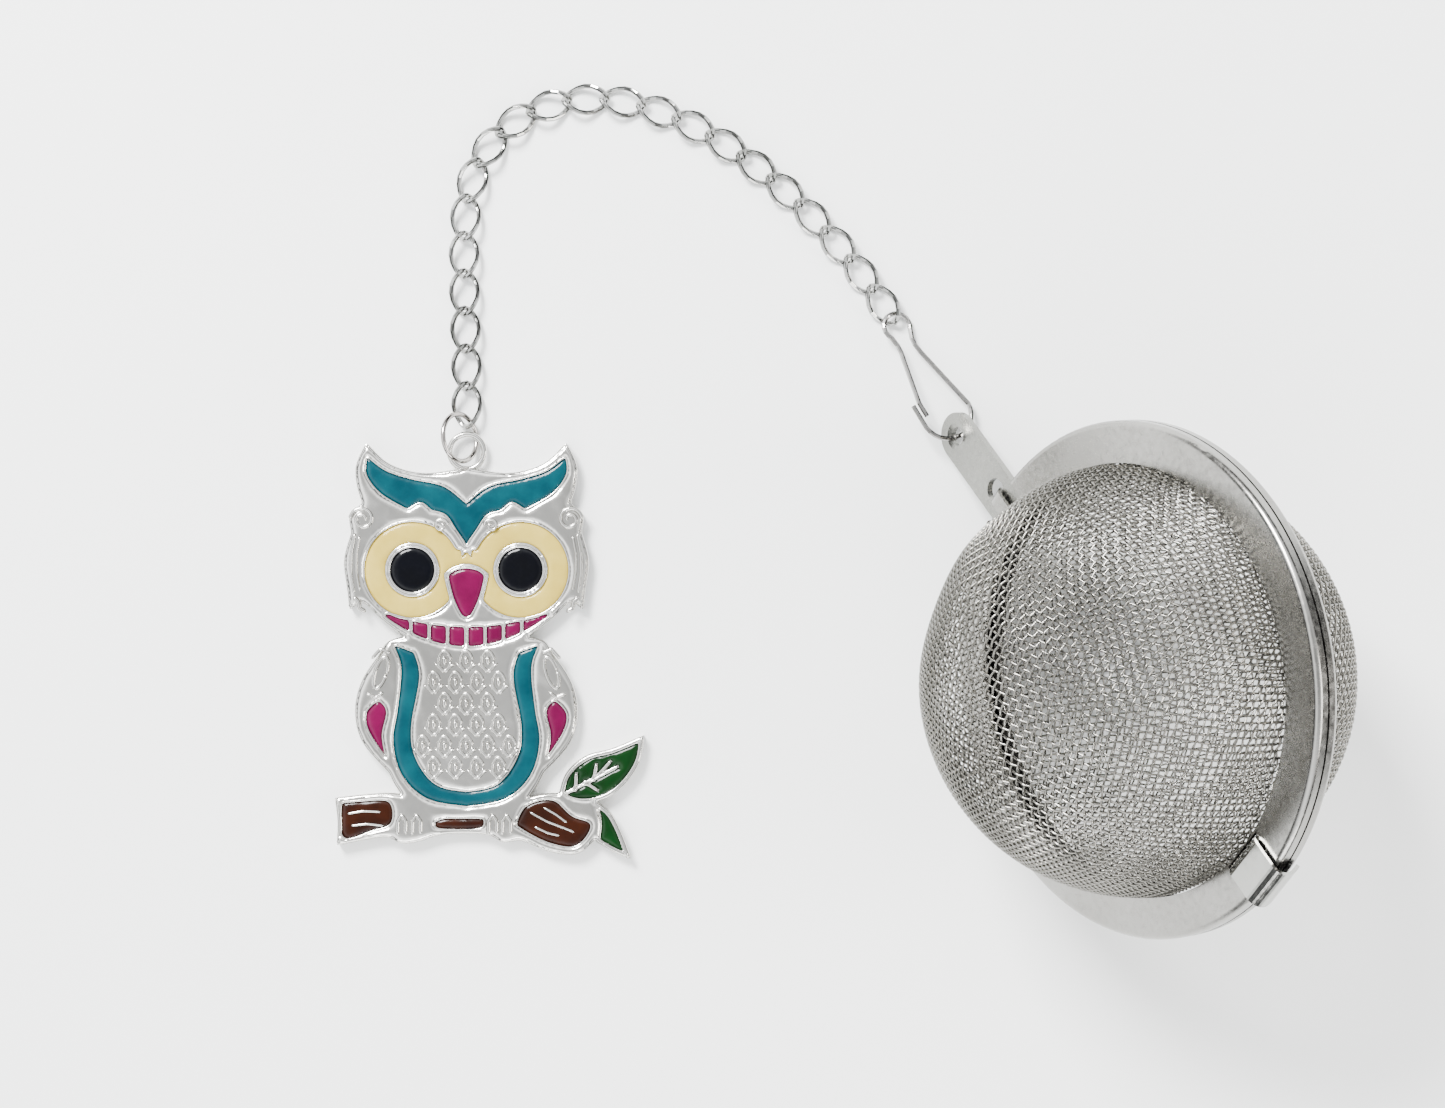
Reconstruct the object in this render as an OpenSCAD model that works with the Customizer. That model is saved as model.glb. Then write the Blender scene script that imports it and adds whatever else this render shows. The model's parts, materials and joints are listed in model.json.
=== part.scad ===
// Mesh-ball tea infuser with a hinged half, a clasp, a snap hook, a curb chain and an enamelled charm.
// It lies on a table: +Z is up, z = 0 is the table, and the origin is under the middle of its outline.
// The ball leans on its back dome and on the edge of its back rim.

/* [Ball] */
// Outer radius of the mesh domes
dome_r = 22.2; // [16:0.1:30]
// Width of the flat rim outside the dome
flange_w = 4.3; // [3.5:0.1:7]
// Thickness of the woven mesh
mesh_t = 0.4; // [0.3:0.05:0.6]
// Thickness of the rim's sheet steel
sheet_t = 0.4; // [0.3:0.05:0.6]
// Gap between the two closed rims
rim_gap = 0.24; // [0.1:0.02:0.5]
// Radius of the rim's outer edge
edge_r = 0.6; // [0.2:0.05:0.9]

/* [Handle strap] */
// Direction of the strap round the ball, in degrees
strap_angle = 132.5; // [110:0.5:150]
// Width of the strap
strap_w = 5.2; // [4.6:0.1:7]
// Thickness of the strap
strap_t = 0.7; // [0.5:0.05:1]
// Distance from the rim's edge to the hook hole
strap_reach = 9.9; // [7:0.1:14]
// Radius of the hook hole
hook_hole_r = 1; // [0.9:0.05:1.4]
// Radius of the hinge hole
hinge_hole_r = 1.3; // [1.2:0.05:1.7]

/* [Clasp] */
// Direction of the clasp round the ball, in degrees
clasp_angle = -48.7; // [-70:0.1:-30]
// Width of the clasp
clasp_w = 5; // [3.5:0.1:8]
// Thickness of the clasp's strip
clasp_t = 0.35; // [0.3:0.05:0.5]

/* [Snap hook] */
// Diameter of the hook's wire
hook_wire = 0.56; // [0.4:0.02:0.7]
// Length of the hook between its small loop and the strap
hook_l = 13.8; // [11:0.1:18]
// Radius of the hook's wide end
hook_r = 2.9; // [2.5:0.05:3.6]

/* [Chain] */
// Distance from one link to the next
link_pitch = 4.1; // [3.4:0.05:5.2]
// Diameter of the link wire
link_wire = 0.55; // [0.4:0.01:0.66]
// Width of a link
link_w = 3.5; // [3.1:0.05:4.4]
// Twist of a link from its middle to each end, in degrees
link_twist = 48; // [40:1:55]

/* [Jump ring] */
// Radius of the ring, to the middle of its wire
ring_r = 2.6; // [2.3:0.05:3]
// Diameter of the ring's wire
ring_wire = 0.54; // [0.4:0.02:0.6]

/* [Charm] */
// Width of the owl's head
owl_w = 26; // [20:0.5:34]
// Thickness of the cast plate
plate_t = 1.6; // [1.2:0.1:2.4]
// Depth of the pools that hold the enamel
pool_d = 0.5; // [0.3:0.05:0.8]

/* [Hidden] */
SMALL_FN = 32;
ROUND_FN = 96;
OVERLAP = 0.05;
LIFT = 0.02;

// Ball: the rims are hemmed over the mesh brim, so their height is what the hem holds.
hem_play = 0.1;
rim_r = dome_r + flange_w;
rim_h = rim_gap / 2 + 2 * sheet_t + mesh_t + hem_play;
flange_in = dome_r;
hem_in = rim_r - 2.7;
brim_z = rim_h - sheet_t - mesh_t;

// Hinge: the front rim's tongue passes over the strap and curls down through its hole.
hinge_z = strap_t / 2 - rim_gap / 2;
hinge_r = rim_r - 0.1;
curl_r = rim_h - sheet_t / 2 - hinge_z;
tongue_w = 1.6;
strap_in = dome_r + 1;
strap_side = 0.35;
strap_tip = rim_r + strap_reach;

// Clasp: it turns on a bar in a window of the front flange.
bar_w = 0.8;
bar_r = dome_r + 1.3;
bar_z = rim_h - sheet_t / 2;
clasp_in = norm([bar_w / 2, sheet_t / 2]) + 0.08;
clasp_curl = clasp_in + clasp_t / 2;
clasp_play = 0.12;
clasp_reach = norm([rim_r - bar_r, rim_h + bar_z]) - edge_r * (sqrt(2) - 1) + clasp_play + clasp_t / 2;
clasp_wrap = 37;
window_side = 0.25;
window_in = dome_r + 0.1;
window_out = bar_r + clasp_in + clasp_t + 0.2;

// Rest pose: the ball leans until its rim or the tip of its strap meets the table.
function lean(r, h, drop) = asin(drop / norm([r, h])) - atan(h / r);
rim_lean = lean(rim_r - edge_r, rim_h - edge_r, dome_r - edge_r);
tip_reach = -(strap_tip + strap_w / 2) * cos(strap_angle);
tip_lean = lean(tip_reach, rim_gap / 2, dome_r);
ball_tilt = min(rim_lean, tip_lean);
ball_turn = 4.5;

function turn_y(p, a) = [p.x * cos(a) + p.z * sin(a), p.y, p.z * cos(a) - p.x * sin(a)];
function turn_z(p, a) = [p.x * cos(a) - p.y * sin(a), p.x * sin(a) + p.y * cos(a), p.z];
function from_ball(p) = turn_z(turn_y(p, -ball_tilt), ball_turn) + [0, 0, dome_r + LIFT];

// Chain: the links lie in line, and each is headed a little further round than the one before it.
link_headings = [124, 127, 131, 134, 138, 142, 147, 153, 160, 170, 183,
                 197, 214, 234, 253, 266, 270, 271, 272, 271, 270];
link_count = len(link_headings);
link_play = 0.1;
link_a = (link_pitch + link_wire) / 2 + link_play;
link_b = (link_w - link_wire) / 2;
link_z = link_b * sin(link_twist / sqrt(2)) * 0.72 + link_wire / 2 + LIFT;

// Route on the table, from the hook hole at the ball to the charm.
hole_at = from_ball([strap_tip * cos(strap_angle), strap_tip * sin(strap_angle), hinge_z]);
hook_heading = 119;
loop_r = 1.5;
loop_z = link_z + 0.1;
hook_rise = asin((hole_at.z - loop_z) / hook_l);
hook_flat = hook_l * cos(hook_rise);
hook_roll = -19;
function step(a, l) = [l * cos(a), l * sin(a)];
loop_at = [hole_at.x, hole_at.y] + step(hook_heading, hook_flat);
first_joint = loop_at + step(hook_heading, loop_r - (hook_wire + link_wire) / 2 - link_play);
function joint_at(i) = i == 0 ? first_joint : joint_at(i - 1) + step(link_headings[i - 1], link_pitch);
link_joints = [for (i = [0 : link_count]) joint_at(i)];
chain_end = link_joints[link_count];

// Jump ring: it leans through the last link and the charm's eyelet, and rests on the table.
ring_pitch = -9;
ring_roll = 50.6;
ring_size = ring_r / 2.6;
ring_at = [chain_end.x - 0.64 * ring_size, chain_end.y - 1.57 * ring_size];
ring_z = 2.32 * ring_size;
eyelet_at = [chain_end.x, chain_end.y - 3.06 * ring_size];
lift_at = [eyelet_at.x, eyelet_at.y + 1.5 * ring_size, 1.97 * ring_size];

// Charm: its outlines are drawn for an owl of the first width, and k brings them to size.
drawn_w = 26;
k = owl_w / drawn_w;
eyelet_r = 1.9;
eyelet_wire = 0.64;
eyelet_z = 1;
head_top = 18.2 * k;
charm_at = eyelet_at - [0, head_top + eyelet_r];
leaf_tip = [19.3, -10.9];
branch_end = [-14.3, -17.7];
axis_x = -0.1;
brow_tip = [axis_x, 9.9];
eye_at = [5.9, 7.2] * k;
mask_r = 5.25 * k;
eye_r = 2.45 * k;
eye_border = 0.5 * k;
border = 0.42 * k;

x_low = charm_at.x + k * branch_end.x;
x_high = dome_r;
y_low = -rim_r;
y_high = max([for (p = link_joints) p.y]) + link_w / 2;
centre = [(x_low + x_high) / 2, (y_low + y_high) / 2];

STEEL = [0.72, 0.72, 0.72];
MESH = [0.62, 0.62, 0.6];
PLATING = [0.86, 0.85, 0.83];
TEAL = [0, 0.48, 0.52];
CREAM = [0.93, 0.87, 0.62];
MAGENTA = [0.72, 0.1, 0.48];
BLACK = [0.02, 0.02, 0.05];
BROWN = [0.42, 0.18, 0.06];
GREEN = [0.04, 0.4, 0.12];

link_names = [for (i = [1 : link_count]) str("chain_link_", i < 10 ? "0" : "", i)];

module on_table() {
    translate([-centre.x, -centre.y, 0])
        children();
}

module on_ball(angle = 0) {
    on_table()
        translate([0, 0, dome_r + LIFT])
            rotate([0, -ball_tilt, ball_turn])
                rotate([0, 0, angle])
                    children();
}

// Points of an arc
function arc(c, r, a0, a1, n) = [for (i = [0 : n]) c + step(a0 + (a1 - a0) * i / n, r)];

function after_first(p) = [for (i = [1 : len(p) - 1]) p[i]];

// Outline of a strip of sheet whose middle follows the points
function strip_side(p, t, side) = [for (i = [0 : len(p) - 1])
    let (d = p[min(i + 1, len(p) - 1)] - p[max(i - 1, 0)])
    p[i] + side * t / 2 * [-d.y, d.x] / norm(d)];
function strip(p, t) = let (back = strip_side(p, t, -1))
    concat(strip_side(p, t, 1), [for (i = [len(p) - 1 : -1 : 0]) back[i]]);

// A profile in the plane of radius and height, as wide as w
module across(w) {
    translate([0, w / 2, 0])
        rotate([90, 0, 0])
            linear_extrude(w)
                children();
}

// Section of one hemmed rim: flat top, rounded outer edge and an under-layer that grips the mesh brim
module rim_section() {
    top_w = rim_r - edge_r - flange_in;
    difference() {
        union() {
            translate([flange_in, rim_gap / 2])
                square([top_w, rim_h - rim_gap / 2]);
            translate([rim_r - edge_r - OVERLAP, rim_gap / 2])
                square([edge_r + OVERLAP, rim_h - rim_gap / 2 - edge_r]);
            translate([rim_r - edge_r, rim_h - edge_r])
                circle(edge_r, $fn = SMALL_FN);
        }
        translate([0, rim_gap / 2 + sheet_t])
            square([rim_r - sheet_t, brim_z + mesh_t - rim_gap / 2 - sheet_t]);
        square([hem_in, rim_h - sheet_t]);
    }
}

module rim_ring() {
    rotate_extrude($fn = ROUND_FN)
        rim_section();
}

// Dome of woven mesh with a flat brim
module dome_section() {
    intersection() {
        difference() {
            circle(dome_r, $fn = ROUND_FN);
            circle(dome_r - mesh_t, $fn = ROUND_FN);
        }
        translate([0, brim_z])
            square([rim_r, dome_r]);
    }
    translate([dome_r - mesh_t, brim_z])
        square([rim_r - sheet_t - hem_play - dome_r + mesh_t, mesh_t]);
}

module mesh_bowl() {
    rotate_extrude($fn = ROUND_FN)
        dome_section();
}

// Space that the strap takes from the front half
module strap_notch() {
    rotate([0, 0, strap_angle])
        translate([strap_in - strap_side, -strap_w / 2 - strap_side, -rim_h])
            cube([rim_r, strap_w + 2 * strap_side, 3 * rim_h]);
}

// Space under the strap that the hinge tongue turns through
module curl_notch() {
    notch_in = hinge_r - curl_r - sheet_t / 2 - 0.15;
    rotate([0, 0, strap_angle])
        translate([notch_in, -tongue_w / 2 - 0.25, -2 * rim_h])
            cube([rim_r, tongue_w + 0.5, 2 * rim_h]);
}

// Window of the front flange that the clasp's curl turns in
module clasp_window() {
    rotate([0, 0, clasp_angle])
        translate([window_in, -clasp_w / 2 - window_side, 0])
            cube([window_out - window_in, clasp_w + 2 * window_side, 2 * rim_h]);
}

module hinge_tongue() {
    path = concat([[strap_in - 0.8, rim_h - sheet_t / 2]],
                  arc([hinge_r, hinge_z], curl_r, 90, -45, 18));
    rotate([0, 0, strap_angle])
        across(tongue_w)
            polygon(strip(path, sheet_t));
}

module clasp_bar() {
    rotate([0, 0, clasp_angle])
        translate([bar_r - bar_w / 2, -clasp_w / 2 - window_side - OVERLAP, rim_h - sheet_t])
            cube([bar_w, clasp_w + 2 * (window_side + OVERLAP), sheet_t]);
}

module front_rim() {
    color(STEEL)
        on_ball() {
            difference() {
                rim_ring();
                strap_notch();
                clasp_window();
            }
            hinge_tongue();
            clasp_bar();
        }
}

module back_rim() {
    color(STEEL)
        on_ball()
            difference() {
                mirror([0, 0, 1])
                    rim_ring();
                curl_notch();
            }
}

module front_mesh() {
    color(MESH)
        on_ball()
            difference() {
                mesh_bowl();
                strap_notch();
                clasp_window();
            }
}

module back_mesh() {
    color(MESH)
        on_ball()
            difference() {
                mirror([0, 0, 1])
                    mesh_bowl();
                curl_notch();
            }
}

// Flat strap with a round tip: the hinge hole is at its root, and the hook hole sits in a shallow dish
module handle_strap() {
    dish_r = 6;
    dish_d = 0.2;
    color(STEEL)
        on_ball(strap_angle)
            translate([0, 0, -rim_gap / 2])
                difference() {
                    linear_extrude(strap_t) {
                        translate([strap_in, -strap_w / 2])
                            square([strap_tip - strap_in, strap_w]);
                        translate([strap_tip, 0])
                            circle(strap_w / 2, $fn = SMALL_FN);
                    }
                    translate([hinge_r + hinge_hole_r + 0.2, 0, -strap_t])
                        cylinder(3 * strap_t, r = hinge_hole_r, $fn = SMALL_FN);
                    translate([strap_tip, 0, -strap_t])
                        cylinder(3 * strap_t, r = hook_hole_r, $fn = SMALL_FN);
                    translate([strap_tip, 0, strap_t + dish_r - dish_d])
                        sphere(dish_r, $fn = ROUND_FN);
                }
}

// Spring strip: a curl round the bar, a flat over the flange and an arc round both rims
module clasp() {
    bend_r = 1.2;
    bend_x = sqrt(pow(clasp_reach - bend_r, 2) - pow(clasp_curl - bend_r, 2));
    bend_end = atan((clasp_curl - bend_r) / bend_x);
    path = concat(arc([0, 0], clasp_curl, 290, 90, 16),
                  arc([bend_x, clasp_curl - bend_r], bend_r, 90, bend_end, 10),
                  after_first(arc([0, 0], clasp_reach, bend_end, -clasp_wrap, 12)));
    color(STEEL)
        on_ball(clasp_angle)
            translate([bar_r, 0, bar_z])
                across(clasp_w)
                    polygon(strip(path, clasp_t));
}

// Round wire swept along a path; each point carries its outward direction
function ring_of(p, t, out, r, n) =
    let (u = out - (out * t) * t, x = u / norm(u), y = cross(t, x))
    [for (j = [0 : n - 1]) p + r * (cos(360 * j / n) * x + sin(360 * j / n) * y)];
function wall(i, j, n, m) = let (i1 = (i + 1) % m, j1 = (j + 1) % n)
    [[i * n + j, i1 * n + j, i1 * n + j1], [i * n + j, i1 * n + j1, i * n + j1]];

module closed_wire(path, outs, r, n) {
    m = len(path);
    points = [for (i = [0 : m - 1])
        let (d = path[(i + 1) % m] - path[(i + m - 1) % m])
        each ring_of(path[i], d / norm(d), outs[i], r, n)];
    polyhedron(points, [for (i = [0 : m - 1], j = [0 : n - 1]) each wall(i, j, n, m)], convexity = 6);
}

module open_wire(path, out, r, n) {
    m = len(path);
    points = [for (i = [0 : m - 1])
        let (d = path[min(i + 1, m - 1)] - path[max(i - 1, 0)])
        each ring_of(path[i], d / norm(d), out, r, n)];
    ends = [[for (j = [0 : n - 1]) j], [for (j = [n - 1 : -1 : 0]) (m - 1) * n + j]];
    walls = [for (i = [0 : m - 2], j = [0 : n - 1]) each wall(i, j, n, m)];
    polyhedron(points, concat(walls, ends), convexity = 6);
}

// One bent wire: small loop at the chain, straight legs, wide end through the strap and a catch
module snap_hook() {
    wide_x = hook_l - hook_r;
    leg = loop_r + 0.1;
    path = concat([[wide_x - 2.3, -hook_r - 0.05]],
                  arc([wide_x, 0], hook_r, -80, 86, 14),
                  [[3.6, 0.95], [2.6, 0.8], [1.9, 0.85]],
                  arc([0, 0], loop_r, 55, 305, 14),
                  [[1.9, -1.05], [2.8, -1.1], [3.8, -1.3], [wide_x - 2.3, -hook_r + 0.72], [wide_x - 0.6, -hook_r + 0.78]]);
    color(PLATING)
        on_table()
            translate([loop_at.x, loop_at.y, loop_z])
                rotate([0, 0, hook_heading + 180])
                    rotate([0, -hook_rise, 0])
                        rotate([hook_roll, 0, 0])
                            open_wire([for (p = path) [p.x, p.y, 0]], [0, 0, 1], hook_wire / 2, 8);
}

// Curb link: an oval whose two ends are twisted opposite ways, so that the chain lies flat
module chain_link(i) {
    n = 20;
    path = [for (j = [0 : n - 1])
        let (t = 360 * j / n, turn = link_twist * cos(t))
        [link_a * cos(t), link_b * sin(t) * cos(turn), link_b * sin(t) * sin(turn)]];
    mid = (link_joints[i] + link_joints[i + 1]) / 2;
    color(STEEL)
        on_table()
            translate([mid.x, mid.y, link_z])
                rotate([0, 0, link_headings[i]])
                    closed_wire(path, path, link_wire / 2, 8);
}

// Split ring between the last link and the charm's eyelet
module jump_ring() {
    color(PLATING)
        on_table()
            translate([ring_at.x, ring_at.y, ring_z])
                rotate([ring_pitch, 0, 0])
                    rotate([0, ring_roll, 0])
                        rotate_extrude(angle = 357, $fn = SMALL_FN)
                            translate([ring_r, 0])
                                circle(ring_wire / 2, $fn = 16);
}

// Smooth line through a few points, without its last point, so that lines join end to end
function bend(p, n = 5) = let (m = len(p) - 1) [for (i = [0 : m - 1], j = [0 : n - 1])
    let (t = j / n, a = p[max(i - 1, 0)], b = p[i], c = p[i + 1], d = p[min(i + 2, m)])
    k * ((3 * b - a - 3 * c + d) * pow(t, 3) + (2 * a - 5 * b + 4 * c - d) * t * t + (c - a) * t + 2 * b) / 2];

// The owl is drawn as its right half, a little past its middle line, and mirrored.
module both() {
    children();
    mirror([1, 0])
        children();
}

module head_outline() {
    polygon(concat(
        bend([[axis_x, 18.3], [4.6, 17.7], [8.4, 18.7], [10.9, 21]]),
        bend([[10.9, 21], [12, 18.6], [11.9, 16.4], [11.3, 14.4]]),
        bend([[11.3, 14.4], [12.7, 13.2], [12.5, 11.3]]),
        bend([[12.5, 11.3], [13.3, 8.3], [13, 5.4], [12.7, 2.9]]),
        bend([[12.7, 2.9], [11.4, 3.7], [9.7, 2.2]]),
        bend([[9.7, 2.2], [5.4, -0.8], [axis_x, -1.7]]),
        [[axis_x, -1.7] * k]));
}

module body_outline() {
    polygon(concat(
        bend([[axis_x, 0], [6, 0]]),
        bend([[6, 0], [8.4, -0.6], [9.4, -1.9], [11.4, -5], [12.1, -8.2], [11.3, -11.6], [8.4, -14.9]]),
        bend([[8.4, -14.9], [7.5, -16.6], [5.6, -18.4], [axis_x, -19.4]]),
        [[axis_x, -19.4] * k]));
}

module branch_outline() {
    polygon(concat(
        bend([branch_end, [-14, -20.2], [-14.1, -22.8]]),
        bend([[-14.1, -22.8], [-9, -21.9], [-7.2, -22.6], [-5.2, -22.4], [-2.5, -21.6], [2, -21.6],
              [4, -22.5], [6, -22.3], [9, -23.5], [12.2, -23.7], [14.6, -21.6]]),
        bend([[14.6, -21.6], [14.8, -19.6], [13.6, -17.8]]),
        bend([[13.6, -17.8], [9.2, -17.2], [4, -18.2], [-4, -18.2], [-8, -17.2], branch_end])));
}

module leaf_outline() {
    polygon(concat(
        bend([[10.1, -17.5], [10.9, -15], [13.1, -13.1], [16, -12.3], leaf_tip]),
        bend([leaf_tip, [18.9, -13.6], [17.4, -16], [15.2, -17.7], [12.5, -18.2], [10.1, -17.5]])));
}

module small_leaf_outline() {
    polygon(concat(
        bend([[13.6, -17.8], [15.6, -19.2], [16.9, -21.6], [17.9, -24.3]]),
        bend([[17.9, -24.3], [16, -23.5], [14.1, -22.4]]),
        bend([[14.1, -22.4], [14.3, -20], [13.6, -17.8]])));
}

module brow_pool() {
    both()
        polygon(concat(
            bend([[10.8, 19.5], [10.9, 17.6], [9.3, 15.5], [6.4, 13.8]]),
            bend([[6.4, 13.8], [5, 14.6], [3.8, 13.7]]),
            bend([[3.8, 13.7], [2.2, 13.2], [1.1, 11.6], brow_tip]),
            [brow_tip * k],
            bend([[axis_x, 14.3], [2.5, 16.3], [6, 17.1], [8.8, 18], [10.8, 19.5]])));
}

// Teal band round the belly, open at the collar
module band_pool() {
    both()
        polygon(concat(
            bend([[7.9, -1], [7.1, -3.5], [7.5, -8], [8, -11.5], [7, -15.2], [4.2, -17.8], [axis_x, -18.6]]),
            [[axis_x, -18.6] * k],
            bend([[axis_x, -17], [3.4, -16.2], [5.6, -13.2], [6, -9.8], [5.1, -4.5], [5.7, -1.8]]),
            [[5.7, -1.8] * k]));
}

module beak_outline() {
    both()
        polygon(concat(
            bend([[axis_x, 7.4], [1.1, 7.2], [2, 6.6]]),
            bend([[2, 6.6], [1.4, 4.2], [0.5, 2.3], [axis_x, 2]]),
            [[axis_x, 2] * k]));
}

module mask_pool() {
    bridge = [3.2, 4.2] * k;
    difference() {
        both() {
            translate(eye_at)
                circle(mask_r, $fn = 64);
            translate([axis_x, 5.2 * k])
                square(bridge);
        }
        both()
            translate(eye_at)
                circle(eye_r + eye_border, $fn = 48);
        offset(delta = border)
            beak_outline();
        offset(delta = border)
            brow_pool();
    }
}

module eye_pool() {
    both()
        translate(eye_at)
            circle(eye_r, $fn = 48);
}

// Collar: a smile-shaped band cut into segments
function collar_top(x) = 1 + 1.6 * pow(x / 9.2, 2);
function collar_low(x) = -1.15 + 3.5 * pow(x / 9.2, 2);
module collar_pools() {
    for (s = [[0.2, 1.9], [2.2, 3.9], [4.2, 5.9], [6.2, 8.9]])
        both()
            polygon(k * concat(
                [for (i = [0 : 4]) let (x = s[0] + (s[1] - s[0]) * i / 4) [x, collar_top(x)]],
                [for (i = [4 : -1 : 0]) let (x = s[0] + (s[1] - s[0]) * i / 4) [x, collar_low(x)]]));
}

module drop_pools() {
    both()
        polygon(concat(
            bend([[9.6, -7], [10.9, -8.4], [10.6, -10.4], [8.8, -13.2]]),
            bend([[8.8, -13.2], [9.2, -10.8], [8.7, -8.2], [9.6, -7]])));
}

module brown_pools() {
    polygon(bend([[-13.6, -18.2], [-13.4, -22], [-10.2, -21.2], [-8.2, -20.4], [-8.4, -18.1], [-11, -18]]));
    polygon(bend([[-3.4, -20.2], [-3, -21], [1.4, -21], [1.9, -20.1], [1.4, -19.9], [-3, -19.9]]));
    polygon(bend([[5.4, -20.6], [6.6, -18.5], [9.4, -17.9], [11.4, -19.6], [13.6, -20.6], [12, -22.9], [9.2, -22.6],
                  [7, -21.6], [5.4, -20.6]]));
}

module veins() {
    vein_w = 0.3 * k;
    for (v = [[[10, -17.6], [16.6, -14.2]], [[11.9, -16.7], [12, -14.9]], [[13.9, -15.6], [14.2, -13.9]],
              [[13, -16], [14.4, -16.9]], [[14.2, -15.4], [15.8, -13.6]]])
        let (d = (v[1] - v[0]) * k)
            translate(v[0] * k)
                rotate(atan2(d.y, d.x))
                    translate([-vein_w, -vein_w / 2])
                        square([norm(d) + vein_w, vein_w]);
}

module green_pools() {
    difference() {
        offset(delta = -border)
            leaf_outline();
        veins();
    }
    offset(delta = -border)
        small_leaf_outline();
}

module teal_pools() {
    brow_pool();
    band_pool();
}

module magenta_pools() {
    beak_outline();
    collar_pools();
    drop_pools();
}

module all_pools() {
    teal_pools();
    mask_pool();
    magenta_pools();
    eye_pool();
    brown_pools();
    green_pools();
}

module on_charm(z = 0) {
    on_table()
        translate([charm_at.x, charm_at.y, z])
            children();
}

// Rows of raised feathers on the belly
module feathers() {
    row_h = 2.15 * k;
    pitch = 1.75 * k;
    feather_r = 0.72 * k;
    for (row = [0 : 5])
        let (y = -3.4 * k - row * row_h, count = [4, 5, 6, 5, 4, 3][row])
            for (i = [0 : count - 1])
                translate([(i - (count - 1) / 2) * pitch, y, plate_t - OVERLAP])
                    cylinder(0.25, r = feather_r, $fn = 16);
}

// Cast plate with its eyelet; the metal between the pools stands up as borders
module charm_plate() {
    neck = [1.6, 1.3, 0.8 * eyelet_wire];
    color(PLATING)
        on_charm() {
            difference() {
                linear_extrude(plate_t) {
                    both() {
                        head_outline();
                        body_outline();
                    }
                    branch_outline();
                    leaf_outline();
                    small_leaf_outline();
                }
                translate([0, 0, plate_t - pool_d])
                    linear_extrude(2 * pool_d)
                        all_pools();
            }
            feathers();
            translate([-neck.x / 2, head_top - 0.8 * neck.y, eyelet_z - neck.z / 2])
                cube(neck);
        }
    color(PLATING)
        on_table()
            translate([eyelet_at.x, eyelet_at.y, eyelet_z])
                rotate_extrude($fn = SMALL_FN)
                    translate([eyelet_r, 0])
                        circle(eyelet_wire / 2, $fn = 16);
}

// One colour of enamel, poured a little below the borders
module enamel(paint) {
    color(paint)
        on_charm(plate_t - pool_d)
            linear_extrude(pool_d - 0.1)
                children();
}

module enamel_teal() {
    enamel(TEAL)
        teal_pools();
}

module enamel_cream() {
    enamel(CREAM)
        mask_pool();
}

module enamel_magenta() {
    enamel(MAGENTA)
        magenta_pools();
}

module enamel_black() {
    enamel(BLACK)
        eye_pool();
}

module enamel_brown() {
    enamel(BROWN)
        brown_pools();
}

module enamel_green() {
    enamel(GREEN)
        green_pools();
}

front_rim();
back_rim();
front_mesh();
back_mesh();
handle_strap();
clasp();
snap_hook();
jump_ring();
charm_plate();
enamel_teal();
enamel_cream();
enamel_magenta();
enamel_black();
enamel_brown();
enamel_green();
for (i = [0 : link_count - 1])
    chain_link(i);
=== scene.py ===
"""Looks of a mesh-ball tea infuser with a curb chain and an enamelled charm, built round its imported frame."""

import json
import math

import bpy
import numpy as np
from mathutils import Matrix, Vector
from mathutils.geometry import delaunay_2d_cdt


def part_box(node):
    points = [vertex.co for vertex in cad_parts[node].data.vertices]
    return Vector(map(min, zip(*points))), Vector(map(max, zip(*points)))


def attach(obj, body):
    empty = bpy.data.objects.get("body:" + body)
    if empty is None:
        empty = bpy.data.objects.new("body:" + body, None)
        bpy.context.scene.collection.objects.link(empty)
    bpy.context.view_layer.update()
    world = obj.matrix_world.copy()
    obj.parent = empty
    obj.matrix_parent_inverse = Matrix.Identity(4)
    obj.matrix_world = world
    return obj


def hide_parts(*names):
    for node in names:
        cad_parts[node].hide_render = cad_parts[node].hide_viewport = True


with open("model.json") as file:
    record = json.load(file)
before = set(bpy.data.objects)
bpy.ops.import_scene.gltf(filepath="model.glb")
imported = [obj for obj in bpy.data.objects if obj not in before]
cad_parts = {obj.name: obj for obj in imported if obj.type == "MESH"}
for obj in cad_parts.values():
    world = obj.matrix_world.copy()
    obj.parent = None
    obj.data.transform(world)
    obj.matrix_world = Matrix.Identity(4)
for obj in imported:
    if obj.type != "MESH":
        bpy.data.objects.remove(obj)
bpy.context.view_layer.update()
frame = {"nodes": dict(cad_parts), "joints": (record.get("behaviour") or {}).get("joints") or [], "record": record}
MM = 0.001

NODES = frame["nodes"]
JOINTS = {j["name"]: j for j in frame["joints"]}
SLOTS = {s["node"]: s["material_slot"] for s in frame["record"]["subparts"]}
ENAMELS = sorted(n for n in NODES if n.startswith("enamel"))


# ---------------------------------------------------------------- places, from the frame


def vertices(node):
    """All vertices of a CAD node, as rows."""
    mesh = NODES[node].data
    flat = np.zeros(len(mesh.vertices) * 3, np.float32)
    mesh.vertices.foreach_get("co", flat)
    return flat.reshape(-1, 3).astype(float)


def unit(v):
    v = np.asarray(v, float)
    return v / np.linalg.norm(v)


rims = np.vstack([vertices("front_rim"), vertices("back_rim")])
BALL = (rims.min(0) + rims.max(0)) / 2
DOME_R = BALL[2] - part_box("back_mesh")[0][2]

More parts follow.
